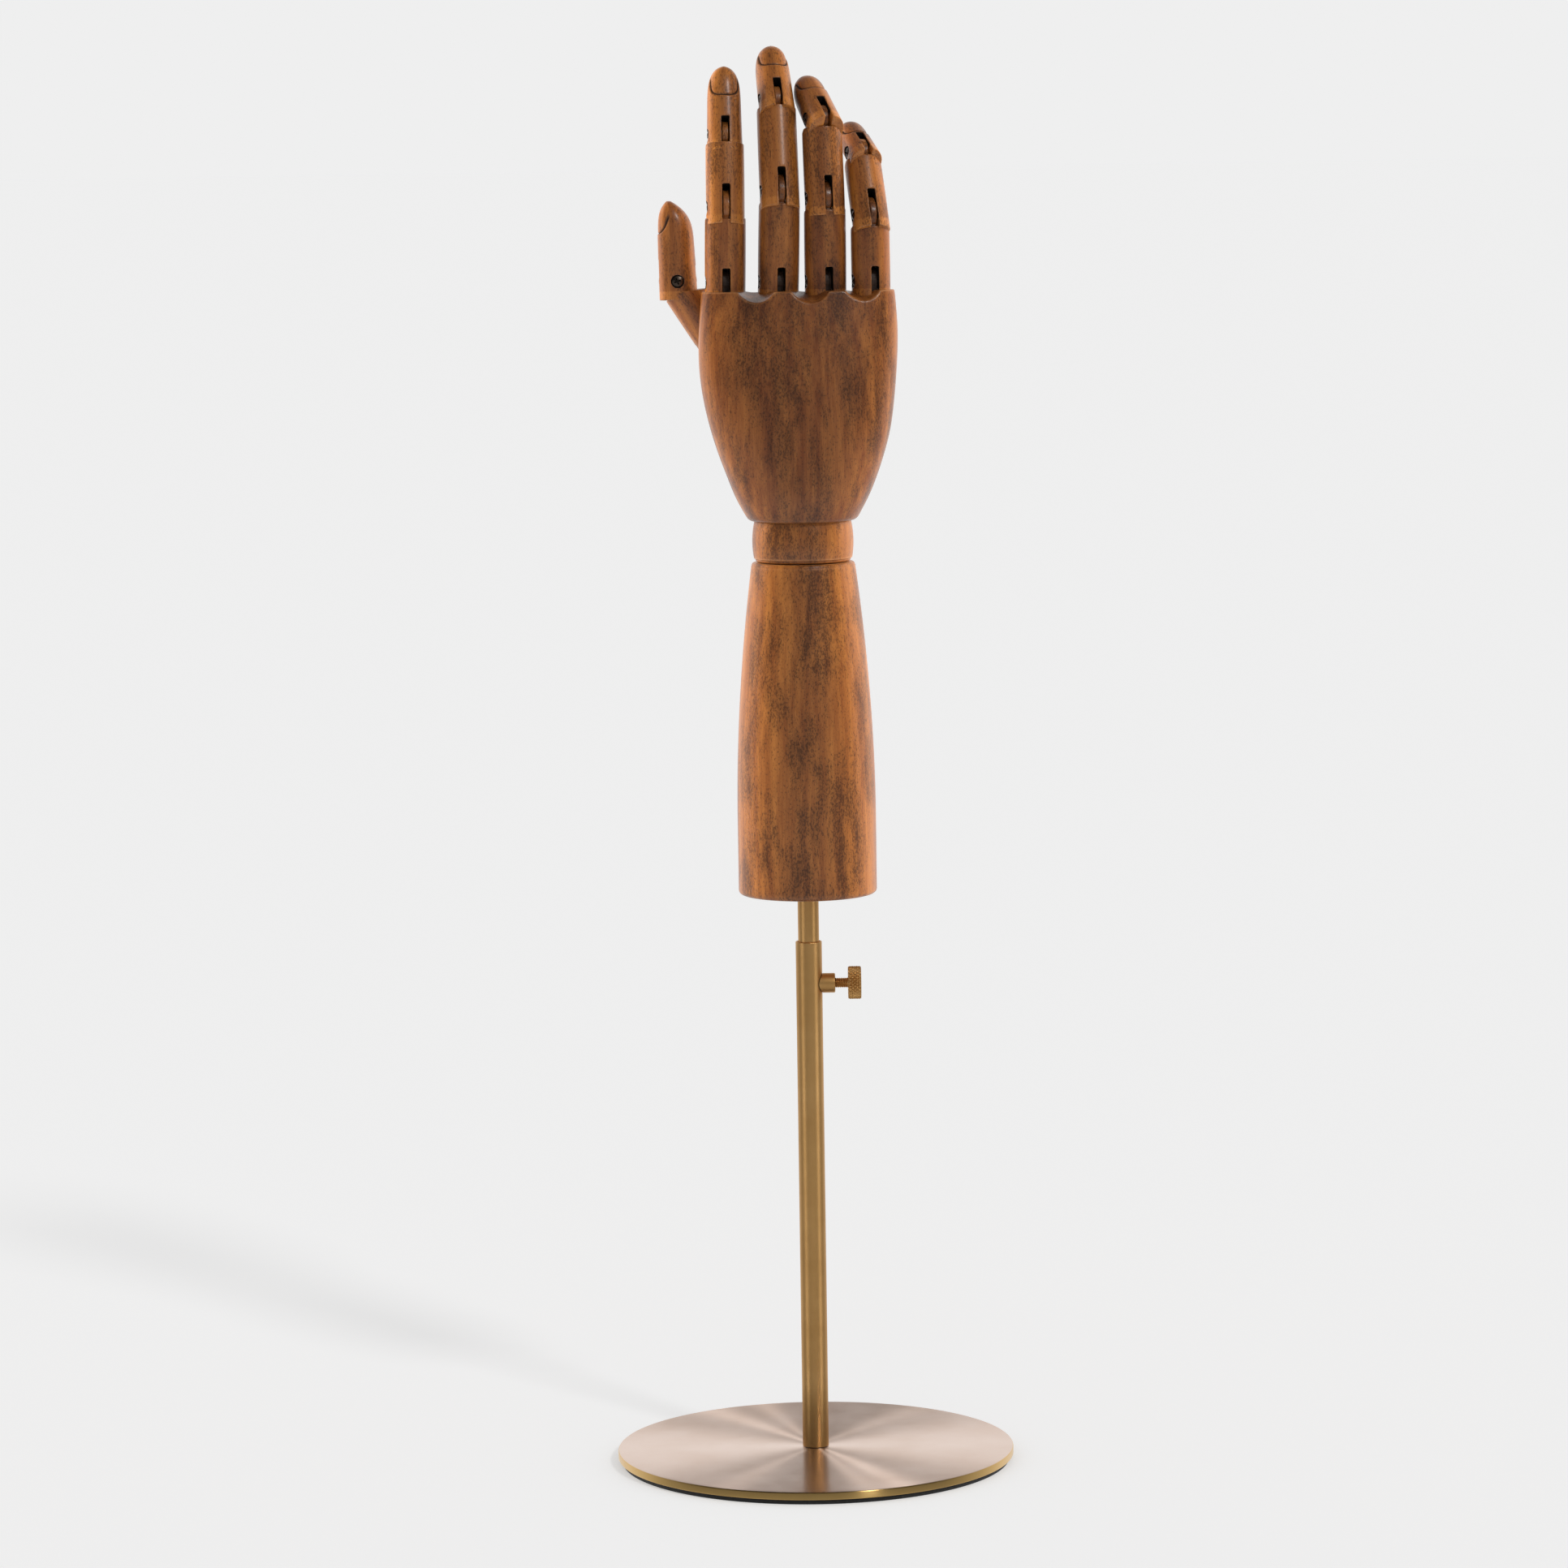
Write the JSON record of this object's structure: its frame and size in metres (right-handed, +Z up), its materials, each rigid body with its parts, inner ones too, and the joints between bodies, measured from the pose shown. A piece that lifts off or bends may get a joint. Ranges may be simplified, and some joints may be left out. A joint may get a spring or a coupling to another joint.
{
  "type": "jointed display hand",
  "caption": "Jointed wooden right hand on a turned forearm, held by a telescoping brass rod with a thumb screw on a round base.",
  "frame": {"origin": "on the floor under the centre of the base disc", "axes": "+Z up; the back of the hand faces -Y; the thumb is on the -X side; the thumb screw points to +X"},
  "size_m": [0.152, 0.152, 0.5405],
  "materials": {
    "stained_wood": "brown stained hardwood under semi-gloss varnish",
    "hinge_wood": "dark oiled hardwood",
    "satin_brass": "satin brushed",
    "black_steel": "black oxide",
    "plain_steel": "zinc plated",
    "rubber_pad": "matte"
  },
  "bodies": {
    "stand": {"base_disc": "satin_brass", "base_pad": "rubber_pad", "base_screw": "black_steel", "tube_plug": "satin_brass", "stand_tube": "satin_brass", "screw_boss": "satin_brass"},
    "clamp_tip": {"clamp_tip": "plain_steel"},
    "thumb_screw": {"thumb_screw": "satin_brass"},
    "rod": {"stand_rod": "satin_brass"},
    "forearm": {"forearm": "stained_wood", "forearm_insert": "satin_brass"},
    "wrist_bead": {"wrist_bead": "stained_wood", "wrist_eye_bolt": "plain_steel", "wrist_washer": "plain_steel", "wrist_nut": "plain_steel"},
    "wrist_spring": {"wrist_spring": "plain_steel"},
    "palm": {"palm": "stained_wood", "palm_eye": "plain_steel", "index_knuckle": "hinge_wood", "middle_knuckle": "hinge_wood", "ring_knuckle": "hinge_wood", "little_knuckle": "hinge_wood", "thumb_knuckle": "hinge_wood"},
    "index_proximal": {"index_proximal": "stained_wood", "index_proximal_screw": "black_steel"},
    "index_middle": {"index_middle": "stained_wood", "index_middle_screw": "black_steel"},
    "index_tip": {"index_tip": "stained_wood", "index_tip_screw": "black_steel"},
    "middle_proximal": {"middle_proximal": "stained_wood", "middle_proximal_screw": "black_steel"},
    "middle_middle": {"middle_middle": "stained_wood", "middle_middle_screw": "black_steel"},
    "middle_tip": {"middle_tip": "stained_wood", "middle_tip_screw": "black_steel"},
    "ring_proximal": {"ring_proximal": "stained_wood", "ring_proximal_screw": "black_steel"},
    "ring_middle": {"ring_middle": "stained_wood", "ring_middle_screw": "black_steel"},
    "ring_tip": {"ring_tip": "stained_wood", "ring_tip_screw": "black_steel"},
    "little_proximal": {"little_proximal": "stained_wood", "little_proximal_screw": "black_steel"},
    "little_middle": {"little_middle": "stained_wood", "little_middle_screw": "black_steel"},
    "little_tip": {"little_tip": "stained_wood", "little_tip_screw": "black_steel"},
    "thumb_proximal": {"thumb_proximal": "stained_wood", "thumb_proximal_screw": "black_steel"},
    "thumb_tip": {"thumb_tip": "stained_wood", "thumb_tip_screw": "black_steel"}
  },
  "joints": [
    {"name": "clamp_travel", "type": "slide", "parent": "stand", "child": "clamp_tip", "axis": [1, 0, 0], "range_m": [0, 0.0014]},
    {"name": "clamp_turn", "type": "hinge", "parent": "clamp_tip", "child": "thumb_screw", "pos_m": [0.0148, 0, 0.185], "axis": [1, 0, 0], "range_deg": [0, 720]},
    {"name": "height_slide", "type": "slide", "parent": "stand", "child": "rod", "axis": [0, 0, 1], "range_m": [-0.018, 0.125]},
    {"name": "forearm_turn", "type": "hinge", "parent": "rod", "child": "forearm", "pos_m": [0, 0, 0.2198], "axis": [0, 0, 1], "continuous": true},
    {"name": "wrist_turn", "type": "hinge", "parent": "forearm", "child": "wrist_bead", "pos_m": [0, 0, 0.354], "axis": [0, 0, 1], "range_deg": [-180, 180]},
    {"name": "wrist_side", "type": "hinge", "parent": "wrist_bead", "child": "wrist_spring", "pos_m": [0, 0, 0.354], "axis": [0, 1, 0], "range_deg": [-20, 20], "deforming": ["wrist_spring"]},
    {"name": "wrist_flex", "type": "hinge", "parent": "wrist_spring", "child": "palm", "pos_m": [0, 0, 0.354], "axis": [-1, 0, 0], "range_deg": [-25, 25]},
    {"name": "index_knuckle_joint", "type": "hinge", "parent": "palm", "child": "index_proximal", "pos_m": [-0.0278, 0, 0.4517], "axis": [-0.9974, -0.0697, 0.0174], "range_deg": [0, 65]},
    {"name": "index_middle_joint", "type": "hinge", "parent": "index_proximal", "child": "index_middle", "pos_m": [-0.02731, 0, 0.4798], "axis": [-0.9974, -0.0697, 0.0174], "range_deg": [-12, 58]},
    {"name": "index_end_joint", "type": "hinge", "parent": "index_middle", "child": "index_tip", "pos_m": [-0.02724, 0.00568, 0.5066], "axis": [-0.9974, -0.0697, 0.0174], "range_deg": [-5, 61]},
    {"name": "middle_knuckle_joint", "type": "hinge", "parent": "palm", "child": "middle_proximal", "pos_m": [-0.0078, 0, 0.4517], "axis": [-0.9874, -0.1564, 0.0259], "range_deg": [0, 65]},
    {"name": "middle_middle_joint", "type": "hinge", "parent": "middle_proximal", "child": "middle_middle", "pos_m": [-0.00692, 0, 0.48529], "axis": [-0.9874, -0.1564, 0.0259], "range_deg": [-18, 52]},
    {"name": "middle_end_joint", "type": "hinge", "parent": "middle_middle", "child": "middle_tip", "pos_m": [-0.00776, 0.01093, 0.51937], "axis": [-0.9874, -0.1564, 0.0259], "range_deg": [-22, 44]},
    {"name": "ring_knuckle_joint", "type": "hinge", "parent": "palm", "child": "ring_proximal", "pos_m": [0.0099, 0, 0.4517], "axis": [-0.9816, -0.1908, 0.0034], "range_deg": [0, 65]},
    {"name": "ring_middle_joint", "type": "hinge", "parent": "ring_proximal", "child": "ring_middle", "pos_m": [0.01001, 0, 0.4827], "axis": [-0.9744, -0.225, 0.0034], "range_deg": [-8, 62]},
    {"name": "ring_end_joint", "type": "hinge", "parent": "ring_middle", "child": "ring_tip", "pos_m": [0.00918, 0.00404, 0.51221], "axis": [-0.9457, -0.3246, 0.0178], "range_deg": [-47, 19]},
    {"name": "little_knuckle_joint", "type": "hinge", "parent": "palm", "child": "little_proximal", "pos_m": [0.027, 0, 0.4517], "axis": [-0.9743, -0.2249, -0.0068], "range_deg": [0, 65]},
    {"name": "little_middle_joint", "type": "hinge", "parent": "little_proximal", "child": "little_middle", "pos_m": [0.02683, 0, 0.4763], "axis": [-0.9703, -0.2419, -0.0068], "range_deg": [-25, 45]},
    {"name": "little_end_joint", "type": "hinge", "parent": "little_middle", "child": "little_tip", "pos_m": [0.02407, 0.01042, 0.4993], "axis": [-0.9477, -0.3176, 0.0302], "range_deg": [-36, 30]},
    {"name": "thumb_base_joint", "type": "hinge", "parent": "palm", "child": "thumb_proximal", "pos_m": [-0.0292, 0.0153, 0.4265], "axis": [0, -1, 0], "range_deg": [-20, 22]},
    {"name": "thumb_end_joint", "type": "hinge", "parent": "thumb_proximal", "child": "thumb_tip", "pos_m": [-0.04587, 0.0153, 0.45216], "axis": [0, -1, 0], "range_deg": [-37, 31]}
  ],
  "couplings": [
    {"joint": "clamp_turn", "follows": "clamp_travel", "rad_per_m": 8975.9}
  ]
}
